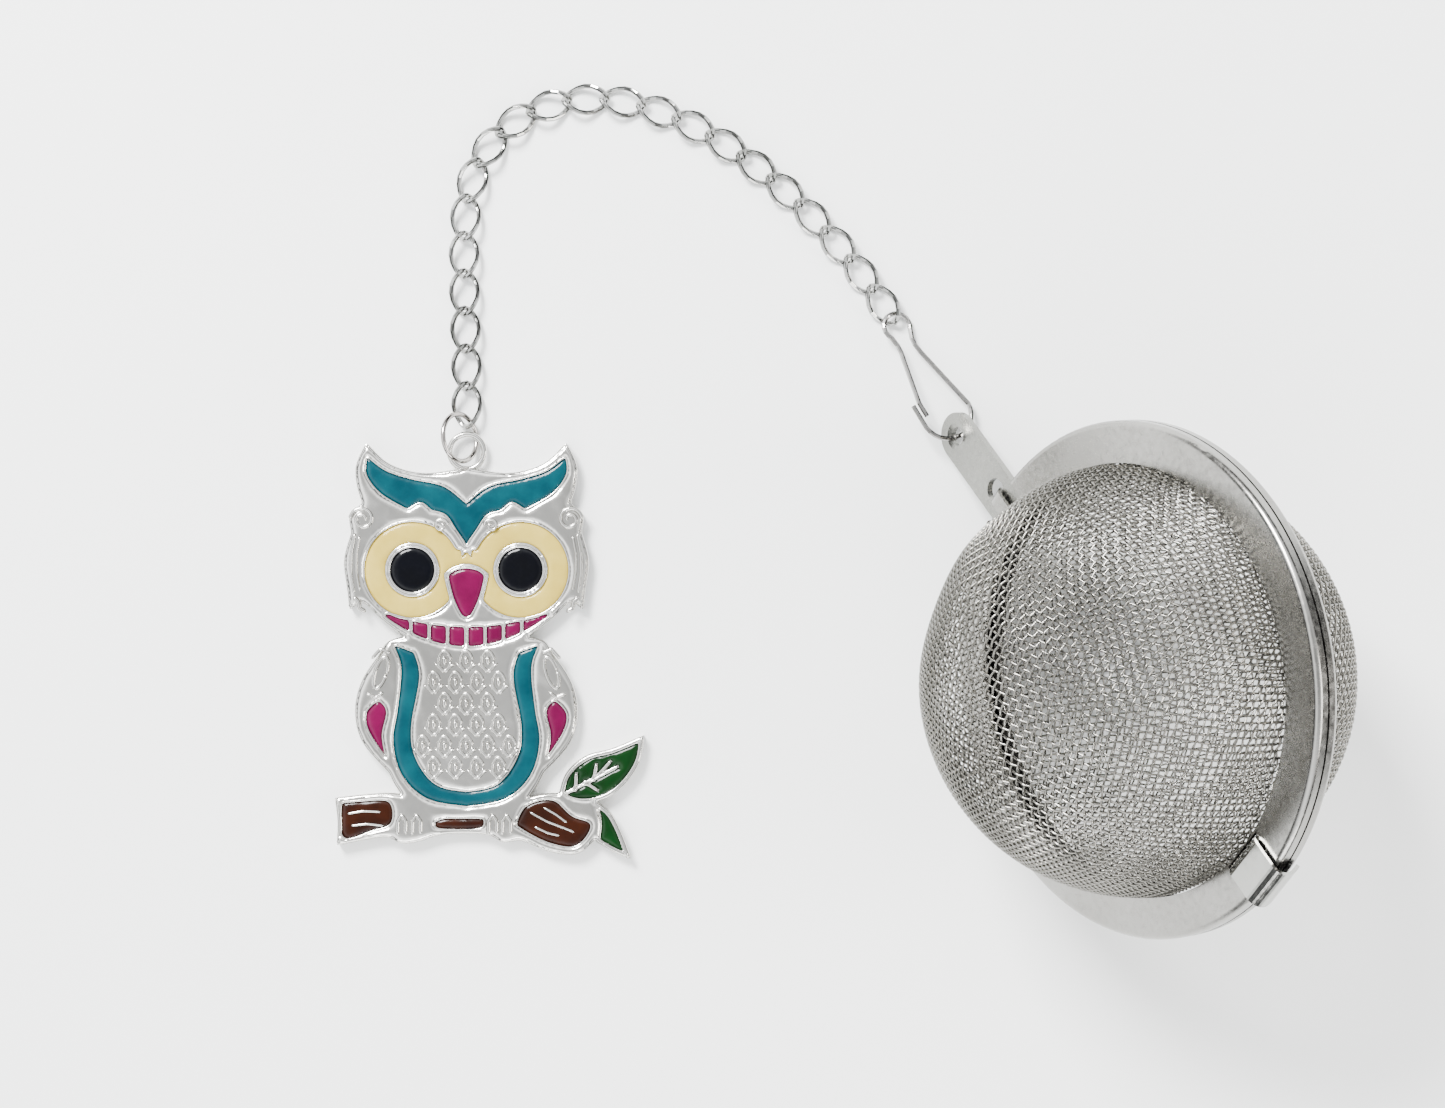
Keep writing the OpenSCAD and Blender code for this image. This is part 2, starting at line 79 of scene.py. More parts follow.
# Ball frame: HINGE_Y along the hinge, POLE out through the front dome, HINGE_X towards the strap.
# The hinge axis lies this far in front of the rims' shared plane
HINGE_HEIGHT = 0.23 * MM
HINGE_Y = unit(JOINTS["front_half_hinge"]["axis"])
to_hinge = np.array(JOINTS["front_half_hinge"]["pos_m"]) - BALL
lean = math.asin(HINGE_HEIGHT / np.linalg.norm(to_hinge))
POLE = math.cos(lean) * np.cross(unit(to_hinge), HINGE_Y) + math.sin(lean) * unit(to_hinge)
HINGE_X = np.cross(HINGE_Y, POLE)
AXES = np.stack([HINGE_X, HINGE_Y, POLE])


def to_ball(points):
    return (np.asarray(points) - BALL) @ AXES.T


def from_ball(points):
    return np.asarray(points) @ AXES + BALL


# The plated face stands a little above the enamel that fills its pools
ENAMEL_DROP = 0.1 * MM
PLATE_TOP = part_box("enamel_teal")[1].z + ENAMEL_DROP


# ---------------------------------------------------------------- camera, floor and lights

# The camera looks straight down; its height and its place over the ball give the view.
CAMERA_HEIGHT = 0.3287
BALL_IN_VIEW = Vector((0.0422, -0.0128))
FOCAL_OF_WIDTH = 3000 / 1445
SENSOR = 36
FLOOR_HALF = 1.5


def make_camera():
    data = bpy.data.cameras.new("view")
    data.sensor_width = SENSOR
    data.lens = SENSOR * FOCAL_OF_WIDTH
    data.clip_start = 0.01
    camera = bpy.data.objects.new("view", data)
    camera.location = (BALL[0] - BALL_IN_VIEW.x, BALL[1] - BALL_IN_VIEW.y, CAMERA_HEIGHT)
    bpy.context.scene.collection.objects.link(camera)
    bpy.context.scene.camera = camera


def area_light(name, place, target, size, power, tint=(1, 1, 1)):
    data = bpy.data.lights.new(name, "AREA")
    data.shape = "RECTANGLE"
    data.size, data.size_y = size
    data.energy = power
    data.color = tint
    light = bpy.data.objects.new(name, data)
    light.location = place
    light.rotation_euler = (Vector(target) - Vector(place)).to_track_quat("-Z", "Y").to_euler()
    bpy.context.scene.collection.objects.link(light)


def make_studio():
    mesh = bpy.data.meshes.new("floor")
    corners = [(FLOOR_HALF * x, FLOOR_HALF * y, 0) for x, y in ((-1, -1), (1, -1), (1, 1), (-1, 1))]
    mesh.from_pydata(corners, [], [(0, 1, 2, 3)])
    floor = bpy.data.objects.new("floor", mesh)
    bpy.context.scene.collection.objects.link(floor)
    mat, nodes, links, bsdf = new_material("pale_floor", (0.86, 0.87, 0.86), roughness=0.75)
    tone = noise(nodes, links, 6, 2)
    links.new(ramp(nodes, links, tone, (0.84, 0.85, 0.845), (0.88, 0.885, 0.875)), bsdf.inputs["Base Color"])
    floor.data.materials.append(mat)
    make_tent()
    area_light("key", (-0.25, 0.35, 0.45), (0, 0, 0), (0.2, 0.2), 14.0)
    area_light("fill", (0.5, -0.1, 0.3), (0, 0, 0.02), (0.3, 0.2), 2.6, (1, 0.97, 0.93))
    area_light("front", (0, -0.5, 0.25), (0, 0, 0.01), (0.5, 0.12), 2.0)


# Light tent: how bright it is at each height of the sky, from level (0) to straight up (1)
TENT = ((0.0, 0.02), (0.3, 0.06), (0.5, 0.4), (0.64, 1.0), (0.82, 1.0), (0.92, 0.5), (0.985, 0.27))
TENT_STRENGTH = 4.0
TENT_TINT = (0.97, 0.985, 1.0)
# The tent's right side is dimmer than its left by this factor, reached at this share of the way across
TENT_SHADE = 0.4
TENT_SHADE_AT = 0.6


def make_tent():
    """A bright ring of light, dark at its level edge and dim overhead, so that metal shows its shape."""
    world = bpy.data.worlds.new("studio")
    world.use_nodes = True
    nodes, links = world.node_tree.nodes, world.node_tree.links
    place = nodes.new("ShaderNodeTexCoord")
    parts = nodes.new("ShaderNodeSeparateXYZ")
    sky = nodes.new("ShaderNodeValToRGB")
    while len(sky.color_ramp.elements) < len(TENT):
        sky.color_ramp.elements.new(0.5)
    for element, (height, light) in zip(sky.color_ramp.elements, TENT):
        element.position = height
        element.color = (*(light * tint for tint in TENT_TINT), 1)
    links.new(place.outputs["Generated"], parts.inputs["Vector"])
    links.new(parts.outputs["Z"], sky.inputs["Fac"])
    shade = ramp(nodes, links, parts.outputs["X"], 1.0, TENT_SHADE, 0.0, TENT_SHADE_AT)
    both = nodes.new("ShaderNodeMixRGB")
    both.blend_type = "MULTIPLY"
    both.inputs["Fac"].default_value = 1.0
    links.new(sky.outputs["Color"], both.inputs["Color1"])
    links.new(shade, both.inputs["Color2"])
    links.new(both.outputs["Color"], nodes["Background"].inputs["Color"])
    nodes["Background"].inputs["Strength"].default_value = TENT_STRENGTH
    bpy.context.scene.world = world


# ---------------------------------------------------------------- material helpers


def new_material(name, color, metallic=0.0, roughness=0.5, **values):
    mat = bpy.data.materials.new(name)
    mat.use_nodes = True
    nodes, links = mat.node_tree.nodes, mat.node_tree.links
    bsdf = nodes["Principled BSDF"]
    bsdf.inputs["Base Color"].default_value = (*color, 1)
    bsdf.inputs["Metallic"].default_value = metallic
    bsdf.inputs["Roughness"].default_value = roughness
    for key, value in values.items():
        bsdf.inputs[key.replace("_", " ")].default_value = value
    mat.diffuse_color = (*color, 1)
    return mat, nodes, links, bsdf


def noise(nodes, links, scale, detail=3, stretch=(1, 1, 1), turn=(0, 0, 0)):
    """Noise in object space; scale is in features per metre along an unstretched axis."""
    place = nodes.new("ShaderNodeTexCoord")
    mapping = nodes.new("ShaderNodeMapping")
    mapping.inputs["Scale"].default_value = stretch
    mapping.inputs["Rotation"].default_value = turn
    texture = nodes.new("ShaderNodeTexNoise")
    texture.inputs["Scale"].default_value = scale
    texture.inputs["Detail"].default_value = detail
    links.new(place.outputs["Object"], mapping.inputs["Vector"])
    links.new(mapping.outputs["Vector"], texture.inputs["Vector"])
    return texture.outputs["Fac"]


def ramp(nodes, links, source, low, high, start=0.3, end=0.7):
    """Colour or grey that runs from low to high as source runs from start to end."""
    node = nodes.new("ShaderNodeValToRGB")
    for element, place, value in zip(node.color_ramp.elements, (start, end), (low, high)):
        value = (value,) * 3 if isinstance(value, (int, float)) else value
        element.position = place
        element.color = (*value, 1)
    links.new(source, node.inputs["Fac"])
    return node.outputs["Color"]


def bump(nodes, links, bsdf, height, depth, strength=0.5):
    node = nodes.new("ShaderNodeBump")
    node.inputs["Distance"].default_value = depth
    node.inputs["Strength"].default_value = strength
    links.new(height, node.inputs["Height"])
    links.new(node.outputs["Normal"], bsdf.inputs["Normal"])


def metal(name, low, high, roughness, grain=900, grain_stretch=(1, 1, 1), turn=(0, 0, 0), depth=0.00002):
    """Metal whose colour and roughness vary a little, with a fine grain."""
    mat, nodes, links, bsdf = new_material(name, high, metallic=1.0, roughness=roughness[0])
    cloud = noise(nodes, links, 60, 2)
    links.new(ramp(nodes, links, cloud, low, high), bsdf.inputs["Base Color"])
    fine = noise(nodes, links, grain, 3, grain_stretch, turn)
    links.new(ramp(nodes, links, fine, roughness[0], roughness[1]), bsdf.inputs["Roughness"])
    bump(nodes, links, bsdf, fine, depth, 0.35)
    return mat


def enamel_material(name, dark, light):
    """Glossy poured enamel: the colour pools a little darker at places and the surface waves slightly."""
    mat, nodes, links, bsdf = new_material(
        name, light, roughness=0.12, Coat_Weight=0.05, Coat_Roughness=0.04, Specular_IOR_Level=0.14
    )
    cloud = noise(nodes, links, 420, 3)
    links.new(ramp(nodes, links, cloud, dark, light), bsdf.inputs["Base Color"])
    fine = noise(nodes, links, 2400, 2)
    links.new(ramp(nodes, links, fine, 0.1, 0.2), bsdf.inputs["Roughness"])
    bump(nodes, links, bsdf, noise(nodes, links, 700, 2), 0.00008, 0.4)
    return mat


def make_materials():
    made = {
        "rim_steel": metal("rim_steel", (0.24, 0.235, 0.22), (0.33, 0.325, 0.31), (0.18, 0.3), 1500),
        "mesh_wire": metal("mesh_wire", (0.13, 0.125, 0.11), (0.3, 0.29, 0.265), (0.14, 0.26), 2500),
        "strap_steel": metal("strap_steel", (0.2, 0.2, 0.185), (0.28, 0.28, 0.26), (0.2, 0.32), 1800),
        "clasp_steel": metal("clasp_steel", (0.25, 0.25, 0.235), (0.42, 0.42, 0.4), (0.1, 0.2), 1500),
        "hook_wire": metal("hook_wire", (0.28, 0.27, 0.26), (0.42, 0.41, 0.4), (0.08, 0.18), 1600),
        "chain_steel": metal("chain_steel", (0.2, 0.2, 0.19), (0.36, 0.36, 0.35), (0.08, 0.2), 1600),
        "ring_wire": metal("ring_wire", (0.27, 0.25, 0.24), (0.42, 0.4, 0.38), (0.06, 0.14), 1600),
        "plating": metal("plating", (0.5, 0.49, 0.46), (0.68, 0.67, 0.64), (0.08, 0.18), 1300, depth=0.00004),
        "enamel_teal": enamel_material("enamel_teal", (0.0, 0.026, 0.037), (0.0, 0.044, 0.057)),
        "enamel_cream": enamel_material("enamel_cream", (0.38, 0.28, 0.045), (0.45, 0.34, 0.07)),
        "enamel_magenta": enamel_material("enamel_magenta", (0.062, 0.0, 0.02), (0.095, 0.0, 0.031)),
        "enamel_black": enamel_material("enamel_black", (0.0, 0.0001, 0.0008), (0.0001, 0.0003, 0.0016)),
        "enamel_brown": enamel_material("enamel_brown", (0.008, 0.0015, 0.0003), (0.021, 0.0042, 0.0008)),
        "enamel_green": enamel_material("enamel_green", (0.0, 0.01, 0.001), (0.0004, 0.02, 0.002)),
    }
    for node, slot in SLOTS.items():
        mesh = NODES[node].data
        mesh.materials.clear()
        mesh.materials.append(made[slot])
    return made


# ---------------------------------------------------------------- mesh helpers


def add_piece(name, points, faces, material, body, slot):
    """A smooth-shaded mesh that rides a body."""
    mesh = bpy.data.meshes.new(name)
    mesh.from_pydata([tuple(p) for p in points], [], [tuple(f) for f in faces])
    mesh.update()
    mesh.materials.append(material)
    mesh.polygons.foreach_set("use_smooth", [True] * len(mesh.polygons))
    piece = bpy.data.objects.new(name, mesh)
    bpy.context.scene.collection.objects.link(piece)
    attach(piece, body)
    return piece


def tube(path, normals, radius, sides=6, closed=False):
    """Points and faces of a round wire along a path; normals say which way its first side faces."""
    path, normals = np.asarray(path, float), np.asarray(normals, float)
    count = len(path)
    if closed:
        along = np.roll(path, -1, 0) - np.roll(path, 1, 0)
    else:
        along = np.gradient(path, axis=0)
    along /= np.linalg.norm(along, axis=1)[:, None]
    side = normals - (normals * along).sum(1)[:, None] * along
    side /= np.linalg.norm(side, axis=1)[:, None]
    other = np.cross(along, side)
    radius = np.broadcast_to(np.asarray(radius, float), (count,))
    rings = []
    for j in range(sides):
        a = 2 * math.pi * j / sides
        rings.append(path + radius[:, None] * (math.cos(a) * side + math.sin(a) * other))
    points = np.stack(rings, 1).reshape(-1, 3)
    faces = []
    for i in range(count if closed else count - 1):
        k = (i + 1) % count
        for j in range(sides):
            m = (j + 1) % sides
            faces.append((i * sides + j, i * sides + m, k * sides + m, k * sides + j))
    if not closed:
        faces.append(tuple(range(sides - 1, -1, -1)))
        faces.append(tuple((count - 1) * sides + j for j in range(sides)))
    return points, faces


class Batch:
    """Several tubes gathered into one mesh."""

    def __init__(self):
        self.points, self.faces, self.size = [], [], 0

    def add(self, points, faces):
        self.points.append(points)
        self.faces += [tuple(i + self.size for i in f) for f in faces]
        self.size += len(points)

    def piece(self, name, material, body, slot):
        return add_piece(name, np.vstack(self.points), self.faces, material, body, slot)


# ---------------------------------------------------------------- woven domes

WIRE_R = 0.115 * MM
WEAVE_PITCH = 0.8 * MM
CRIMP = 0.1 * MM
OUTER_REACH = 0.02 * MM
WEAVE_R = DOME_R - WIRE_R - CRIMP + OUTER_REACH

BRIM_GAP = 0.75 * MM
THINNEST_CELL = 0.25
NET_FLOOR = -0.25
CREST_SHARE = 0.22
CREST_HEIGHT = 0.93
SHORTEST_STEP = 1e-7
DENT_COUNT = 9
DENT_WIDTHS = (0.16, 0.42)
DENT_DEPTHS = (-0.9, 0.1)


def spread_net(count, step):
    """A net of equal steps laid over a sphere, as cloth drapes: wires keep their length, cells shear."""
    net = {}
    for i in range(count + 1):
        a = i * step
        net[i, 0] = np.array([math.sin(a), 0, math.cos(a)])
        net[0, i] = np.array([0, math.sin(a), math.cos(a)])
    for i in range(count):
        for j in range(count):
            a, b, d = net.get((i + 1, j)), net.get((i, j + 1)), net.get((i, j))
            if a is None or b is None or d is None:
                continue
            m = np.cross(a, b)
            if np.linalg.norm(m) < THINNEST_CELL * step * step:
                continue
            m = unit(m)
            c = d - 2 * (d @ m) * m
            if c[2] > NET_FLOOR:
                net[i + 1, j + 1] = c
    return net


def dents(points, seed):
    """Shallow hand dents, smooth and seeded."""
    rng = np.random.default_rng(seed)
    rise = np.zeros(len(points))
    for _ in range(DENT_COUNT):
        middle = unit(rng.normal(size=3) * (1, 1, 0.7) + (0, 0, 0.6))
        width = rng.uniform(*DENT_WIDTHS)
        depth = rng.uniform(*DENT_DEPTHS) * MM
        rise += depth * np.exp(-((points - middle) ** 2).sum(1) / (width * width))
    return np.minimum(rise, 0.0)


def weave_dome(side, turn, seed, material):
    """Warp and weft wires of one dome; side is 1 for the front and -1 for the back."""
    step = WEAVE_PITCH / WEAVE_R
    count = int(math.pi / 2 / step) + 2
    net = spread_net(count, step)
    low = BRIM_GAP / WEAVE_R
    name = "front" if side > 0 else "back"
    body = "front_half" if side > 0 else "back_half"
    c, s = math.cos(turn), math.sin(turn)

    def placed(points):
        points = np.asarray(points)
        x, y, z = points.T
        return np.stack([c * x - s * y, s * x + c * y, side * z], 1)

    def crossing(i, j):
        p = net.get((abs(i), abs(j)))
        if p is None or p[2] < low:
            return None
        return np.array([math.copysign(p[0], i or 1), math.copysign(p[1], j or 1), p[2]])

    batches = {"warp": Batch(), "weft": Batch()}
    for kind, batch in batches.items():
        for i in range(-count, count + 1):
            run = []
            for j in [*range(-count, count + 1), None]:
                p = None if j is None else (crossing(i, j) if kind == "warp" else crossing(j, i))
                if p is not None:
                    over = 1 if ((i + j) % 2 == 0) == (kind == "warp") else -1
                    run.append((p, over))
                elif len(run) > 3:
                    wire(batch, run, placed, seed)
                    run = []
                else:
                    run = []
    for kind, batch in batches.items():
        piece = batch.piece(f"{name}_mesh_{kind}", material, body, "mesh_wire")
        if kind == "warp":
            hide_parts(f"{name}_mesh")


def wire(batch, run, placed, seed):
    """One crimped wire through its crossings, over one and under the next."""
    flat = np.array([p for p, _ in run])
    over = np.array([o for _, o in run], float)
    points, heights = [], []
    for k in range(len(flat)):
        before = flat[k - 1] if k else flat[k]
        after = flat[k + 1] if k + 1 < len(flat) else flat[k]
        for to in (before, after):
            points.append(flat[k] * (1 - CREST_SHARE) + to * CREST_SHARE)
            heights.append(over[k] * CRIMP * CREST_HEIGHT)
    points = np.array(points)
    keep = np.ones(len(points), bool)
    keep[1:] = np.linalg.norm(np.diff(points, axis=0), axis=1) > SHORTEST_STEP
    points, heights = points[keep], np.array(heights)[keep]
    points /= np.linalg.norm(points, axis=1)[:, None]
    radius = WEAVE_R + heights + dents(points, seed)
    world = from_ball(placed(points * radius[:, None]))
    outward = from_ball(placed(points)) - BALL
    batch.add(*tube(world, outward, WIRE_R, sides=5))


# ---------------------------------------------------------------- the charm's outlines, from its CAD nodes


SAME_POINT = 2e-3 * MM
SAME_LEVEL = 0.02 * MM
LEVEL_NORMAL = 0.99


def top_loops(node):
    """Closed loops round the highest flat faces of a CAD node, as arrays of x, y."""
    mesh = NODES[node].data
    points = vertices(node)
    level = PLATE_TOP if node == "charm_plate" else points[:, 2].max()
    keys = {}
    index = [keys.setdefault(tuple(np.round(p / SAME_POINT).astype(int)), len(keys)) for p in points]
    place = np.zeros((len(keys), 3))
    place[index] = points
    edges = {}
    for face in mesh.polygons:
        ids = [index[v] for v in face.vertices]
        if len(set(ids)) < 3 or face.normal.z < LEVEL_NORMAL or abs(place[ids[0]][2] - level) > SAME_LEVEL:
            continue
        for a, b in zip(ids, ids[1:] + ids[:1]):
            if (b, a) in edges:
                del edges[b, a]
            else:
                edges[a, b] = True
    after = {}
    for a, b in edges:
        after.setdefault(a, []).append(b)
    loops = []
    while after:
        start = next(iter(after))
        loop, here = [], start
        while here in after:
            loop.append(here)
            there = after[here].pop()
            if not after[here]:
                del after[here]
            here = there
            if here == start:
                break
        if len(loop) > 2:
            loops.append(place[loop][:, :2])
    return loops


def even_loop(loop, step):
    """The same closed loop with points at even spacing."""
    ring = np.vstack([loop, loop[:1]])
    length = np.concatenate([[0], np.cumsum(np.linalg.norm(np.diff(ring, axis=0), axis=1))])
    at = np.linspace(0, length[-1], max(8, int(length[-1] / step)) + 1)[:-1]
    return np.stack([np.interp(at, length, ring[:, 0]), np.interp(at, length, ring[:, 1])], 1)


def softened(loop):
    """The loop with its corners eased."""
    for _ in range(2):
        loop = (np.roll(loop, 1, 0) + 2 * loop + np.roll(loop, -1, 0)) / 4
    return loop


def perimeter(loop):
    return np.linalg.norm(loop - np.roll(loop, 1, 0), axis=1).sum()


TINY = 1e-30


def inside(points, loops):
    """Even-odd test of points against closed loops."""
    hit = np.zeros(len(points), bool)
    for loop in loops:
        a, b = loop, np.roll(loop, -1, 0)
        for p, q in zip(a, b):
            crosses = (p[1] > points[:, 1]) != (q[1] > points[:, 1])
            x = p[0] + (points[:, 1] - p[1]) * (q[0] - p[0]) / (q[1] - p[1] + TINY)
            hit ^= crosses & (points[:, 0] < x)
    return hit


def edge_distance(points, loops):
    """Distance of each point to the nearest loop."""
    best = np.full(len(points), 1.0)
    for loop in loops:
        for p, q in zip(loop, np.roll(loop, -1, 0)):
            d = q - p
            t = np.clip(((points - p) @ d) / (d @ d + TINY), 0, 1)
            best = np.minimum(best, np.linalg.norm(points - p - t[:, None] * d, axis=1))
    return best


# A grid of even triangles: rows this share of the step apart, and this share of a step clear of the edge
ROW_SHARE = 0.866
EDGE_CLEAR = 0.55


def filled(loops, step, height):
    """Triangles over the area inside the loops, raised by height(distance from the edge, points)."""
    border = [even_loop(loop, step) for loop in loops]
    low = np.min([b.min(0) for b in border], axis=0)
    high = np.max([b.max(0) for b in border], axis=0)
    rows = []
    for k, y in enumerate(np.arange(low[1], high[1], step * ROW_SHARE)):
        x = np.arange(low[0] + (k % 2) * step / 2, high[0], step)
        rows.append(np.stack([x, np.full(len(x), y)], 1))
    grid = np.vstack(rows)
    grid = grid[inside(grid, border)]
    grid = grid[edge_distance(grid, border) > step * EDGE_CLEAR]
    flat = np.vstack(border + [grid])
    edges, start = [], 0
    for b in border:
        edges += [(start + i, start + (i + 1) % len(b)) for i in range(len(b))]
        start += len(b)
    made = delaunay_2d_cdt([Vector(p) for p in flat], edges, [], 0, 1e-7)
    flat = np.array([tuple(v) for v in made[0]])
    faces = np.array([f for f in made[2] if len(f) == 3])
    faces = faces[inside(flat[faces].mean(1), border)]
    distance = edge_distance(flat, border)
    return np.column_stack([flat, height(distance, flat)]), faces


# ---------------------------------------------------------------- the charm's surfaces


WAVE_COUNT = 7
SURFACE_STEP = 0.27 * MM

POOL_STEP = 0.26 * MM
POOL_EDGE = 0.95 * MM
POOL_DOME = 0.24 * MM
POOL_DROP = 0.14 * MM

PILLOW_EDGE = 0.8 * MM
PILLOW_RISE = 0.34 * MM
FACE_LIFT = 0.015 * MM


def wave(points, seed, size, depth):
    """Smooth uneven height, as on a hand-finished casting."""
    rng = np.random.default_rng(seed)
    rise = np.zeros(len(points))
    for _ in range(WAVE_COUNT):
        way = rng.normal(size=2) / size
        rise += np.sin(points @ way + rng.uniform(0, 6.28)) / WAVE_COUNT
    return rise * depth


def make_enamels():
    """Each colour fills its pools and stands a little domed between the metal borders."""

    def height(distance, points):
        edge = np.clip(distance / POOL_EDGE, 0, 1)
        dome = POOL_DOME * np.sqrt(1 - (1 - edge) ** 2)
        return PLATE_TOP - POOL_DROP + dome + wave(points, 3, 0.7 * MM, 0.03 * MM)

    for node in ENAMELS:
        batch = Batch()
        for group in nested(top_loops(node)):
            batch.add(*filled(group, POOL_STEP, height))
        piece = batch.piece(f"{node}_pools", materials[node], "charm", node)
        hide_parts(node)


def nested(loops):
    """Groups of loops: each outer loop with the holes that lie in it."""
    depth = [sum(inside(a[:1], [b])[0] for b in loops if b is not a) for a in loops]
    groups = [[a] for a, d in zip(loops, depth) if d % 2 == 0]
    for hole, d in zip(loops, depth):
        if d % 2:
            home = [g for g in groups if inside(hole[:1], [g[0]])[0]]
            min(home, key=lambda g: perimeter(g[0])).append(hole)
    return groups


def make_charm_face():
    """The plated face between the pools: pillowed edges and an uneven, hand-finished surface."""
    outline = max(top_loops("charm_plate"), key=perimeter)
    pools = [loop for node in ENAMELS for loop in top_loops(node)]

    def height(distance, points):
        edge = np.clip(distance / PILLOW_EDGE, 0, 1)
        pillow = PILLOW_RISE * np.sqrt(1 - (1 - edge) ** 2)
        return PLATE_TOP + FACE_LIFT + pillow + wave(points, 8, 0.9 * MM, 0.11 * MM) * edge

    surface = filled([outline, *pools], SURFACE_STEP, height)
    add_piece("charm_face", *surface, materials["plating"], "charm", "plating")


BEAD_STEP = 0.22 * MM


def beads(name, loops, radius, z, inset):
    """A raised round border along each loop, moved inwards by the inset."""
    batch = Batch()
    for loop in loops:
        ring = softened(even_loop(loop, BEAD_STEP))
        along = np.roll(ring, -1, 0) - np.roll(ring, 1, 0)
        inward = np.stack([-along[:, 1], along[:, 0]], 1)
        inward /= np.linalg.norm(inward, axis=1)[:, None] + 1e-12
        ring = ring + inward * inset
        path = np.column_stack([ring, np.full(len(ring), z)])
        batch.add(*tube(path, np.tile((0, 0, 1.0), (len(path), 1)), radius, sides=8, closed=True))
    batch.piece(name, materials["plating"], "charm", "plating")


def make_borders():
    """Plated borders round every pool and round the charm's outline."""
    for node in ENAMELS:
        beads(f"{node}_border", top_loops(node), 0.17 * MM, PLATE_TOP + 0.02 * MM, -0.1 * MM)
    outline = max(top_loops("charm_plate"), key=perimeter)
    beads("charm_edge", [outline], 0.3 * MM, PLATE_TOP - 0.1 * MM, 0.22 * MM)


# ---------------------------------------------------------------- the charm's relief

# The owl frame is in millimetres, with its origin between the eyes and below them
EYE_HEIGHT = 7.2 * MM
EYES_LOW, EYES_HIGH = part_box("enamel_black")
OWL = np.array([*((EYES_LOW + EYES_HIGH) / 2)][:2]) - (0, EYE_HEIGHT)
RELIEF_Z = PLATE_TOP + 0.36 * MM
GRAIN_Z = PLATE_TOP + 0.08 * MM
STROKE_STEP = 0.18
BLUNTEST = 0.02


def stroke(batch, path, radius, z=RELIEF_Z):
    """A raised round line with rounded ends along owl-frame points."""
    path = np.asarray(path, float)
    length = np.concatenate([[0], np.cumsum(np.linalg.norm(np.diff(path, axis=0), axis=1))])
    at = np.linspace(0, length[-1], max(7, int(length[-1] / STROKE_STEP)))
    flat = OWL + MM * np.stack([np.interp(at, length, path[:, 0]), np.interp(at, length, path[:, 1])], 1)
    line = np.column_stack([flat, np.full(len(at), z)])
    room = np.minimum(at, length[-1] - at) / radius
    thick = radius * MM * np.sqrt(np.clip(1 - (1 - np.clip(room, 0, 1)) ** 2, BLUNTEST, 1))
    batch.add(*tube(line, np.tile((0, 0, 1.0), (len(at), 1)), thick, sides=8))


def spiral(batch, x, y, size, way, turns, radius):
    """A curl that winds inwards; way is 1 to start on its right and -1 on its left."""
    a = np.linspace(0, 2 * math.pi * turns, 40)
    r = size * (1 - 0.8 * a / a[-1])
    stroke(batch, np.stack([x + way * r * np.cos(a), y + r * np.sin(a)], 1), radius)


def oval(batch, x, y, wide, tall, lean, radius, point):
    """Closed oval outline; point draws its ends out into tips."""
    a = np.linspace(0, 2 * math.pi, 29)
    u, v = wide * np.sign(np.cos(a)) * np.abs(np.cos(a)) ** (1 + point), tall * np.sin(a)
    c, s = math.cos(math.radians(lean)), math.sin(math.radians(lean))
    stroke(batch, np.stack([x + c * u - s * v, y + s * u + c * v], 1), radius)


SCALE_STEP = (2.36, 2.32)
SCALE_TOP = -2.7
SCALE_CLEAR = 0.95
BIB_BOTTOM = 2.5
BELLY_HALF = 6


def make_scales(batch):
    """Staggered rows of pointed scales with a bump in each, wherever they fit inside the teal bib."""
    teal = top_loops("enamel_teal")
    pools = [(loop - OWL) / MM for node in ENAMELS for loop in top_loops(node)]
    bib = (max(teal, key=lambda loop: -loop[:, 1].min()) - OWL) / MM
    middle = (bib[:, 0].min() + bib[:, 0].max()) / 2
    for row in range(8):
        y = SCALE_TOP - row * SCALE_STEP[1]
        for k in range(-3, 4):
            x = middle + (k + (row % 2) / 2) * SCALE_STEP[0]
            spot = np.array([[x, y]])
            on_belly = abs(x - middle) <= BELLY_HALF and y >= bib[:, 1].min() + BIB_BOTTOM
            clear = edge_distance(spot, pools)[0] >= SCALE_CLEAR and not inside(spot, pools)[0]
            if on_belly and clear and between(x, y, bib):
                scale(batch, x, y)


def scale(batch, x, y):
    """One pointed scale, its bump and the two strokes that run down to its tip."""
    oval(batch, x, y, 0.68, 1.12, 0, 0.2, 0.5)
    stroke(batch, [(x, y - 0.5), (x, y + 0.5)], 0.3)
    for way in (-1, 1):
        stroke(batch, [(x, y - 1.35), (x + way * 0.55, y - 0.75), (x + way * 1.1, y - 0.25)], 0.2)


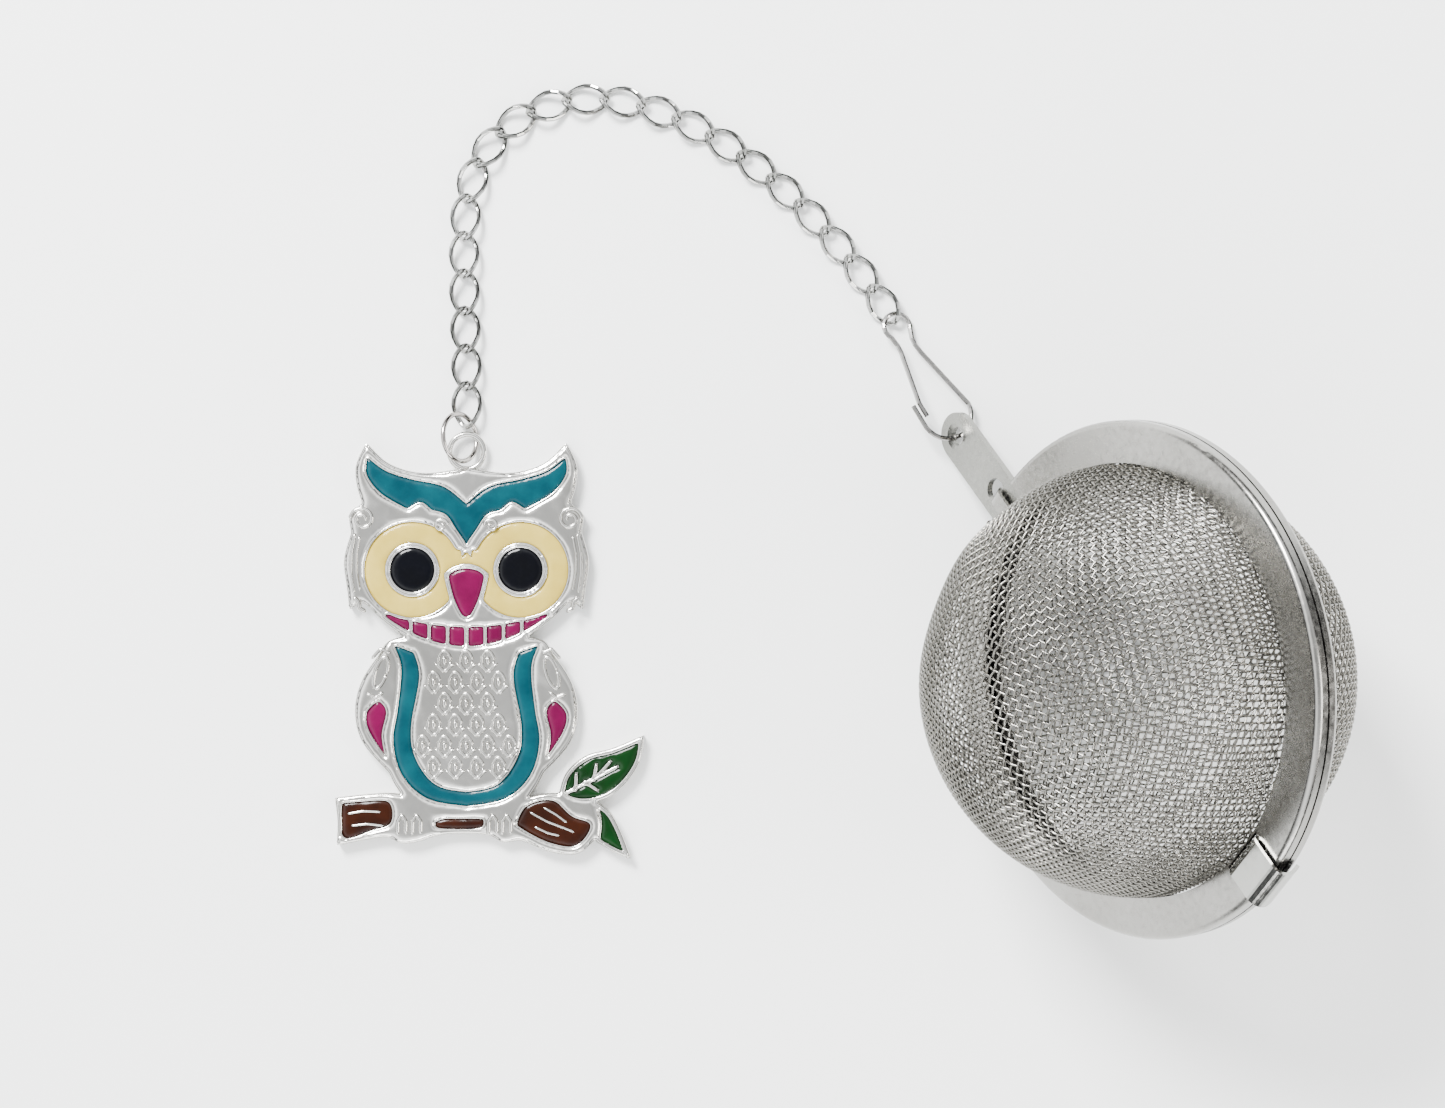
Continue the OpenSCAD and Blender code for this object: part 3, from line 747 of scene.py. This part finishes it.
def between(x, y, loop):
    """Whether the loop passes on both sides of the place at its height."""
    near = loop[np.abs(loop[:, 1] - y) < 0.6]
    return len(near) > 1 and near[:, 0].min() < x < near[:, 0].max()


def make_relief():
    """Raised ornament of the owl: belly scales, curls, side bars, wing scrolls, toes and wood grain."""
    batch = Batch()
    make_scales(batch)
    for way in (-1, 1):
        spiral(batch, way * 11.3, 12.7, 1.35, way, 1.6, 0.24)
        spiral(batch, way * 2.75, 12.0, 0.8, -way, 1.3, 0.2)
        stroke(batch, [(way * 12.1, 11.2), (way * 12.5, 9), (way * 12.55, 7), (way * 12.2, 4.6)], 0.2)
        stroke(batch, [(way * 11.6, 10.9), (way * 11.95, 9), (way * 11.95, 7), (way * 11.6, 4.9)], 0.16)
        stroke(batch, [(way * 12.3, 4.3), (way * 11.7, 3.7), (way * 11.6, 3.0), (way * 10.9, 2.6)], 0.26)
        oval(batch, way * 9.3, -4.0, 0.62, 1.8, way * 18, 0.24, 0.0)
        stroke(batch, [(way * 10.3, -2.5), (way * 9.3, -1.4), (way * 8.2, -1.9)], 0.2)
        stroke(batch, [(way * 10.9, -6.3), (way * 9.8, -6.7), (way * 9.0, -6.1)], 0.22)
    for x in (-7.0, -5.4, 2.9, 4.4):
        toe = [(-0.5, -21.7), (-0.45, -20.2), (0, -19.5), (0.45, -20.2), (0.4, -21.6)]
        stroke(batch, [(x + dx, y) for dx, y in toe], 0.24)
    grain = (
        [(-13.0, -19.4), (-11.2, -19.1), (-9.3, -19.2)],
        [(-12.6, -20.7), (-10.8, -20.5), (-9.0, -20.7)],
        [(6.9, -19.2), (8.7, -20.2), (11.8, -21.4)],
        [(8.4, -18.7), (9.8, -19.5), (11.0, -20.4)],
        [(7.4, -20.8), (8.9, -21.5), (10.2, -21.8)],
    )
    for line in grain:
        stroke(batch, line, 0.15, GRAIN_Z)
    batch.piece("charm_relief", materials["plating"], "charm", "plating")


# ---------------------------------------------------------------- build

make_camera()
make_studio()
materials = make_materials()
make_enamels()
make_charm_face()
make_borders()
make_relief()
weave_dome(1, math.radians(20), 4, materials["mesh_wire"])
weave_dome(-1, math.radians(50), 9, materials["mesh_wire"])
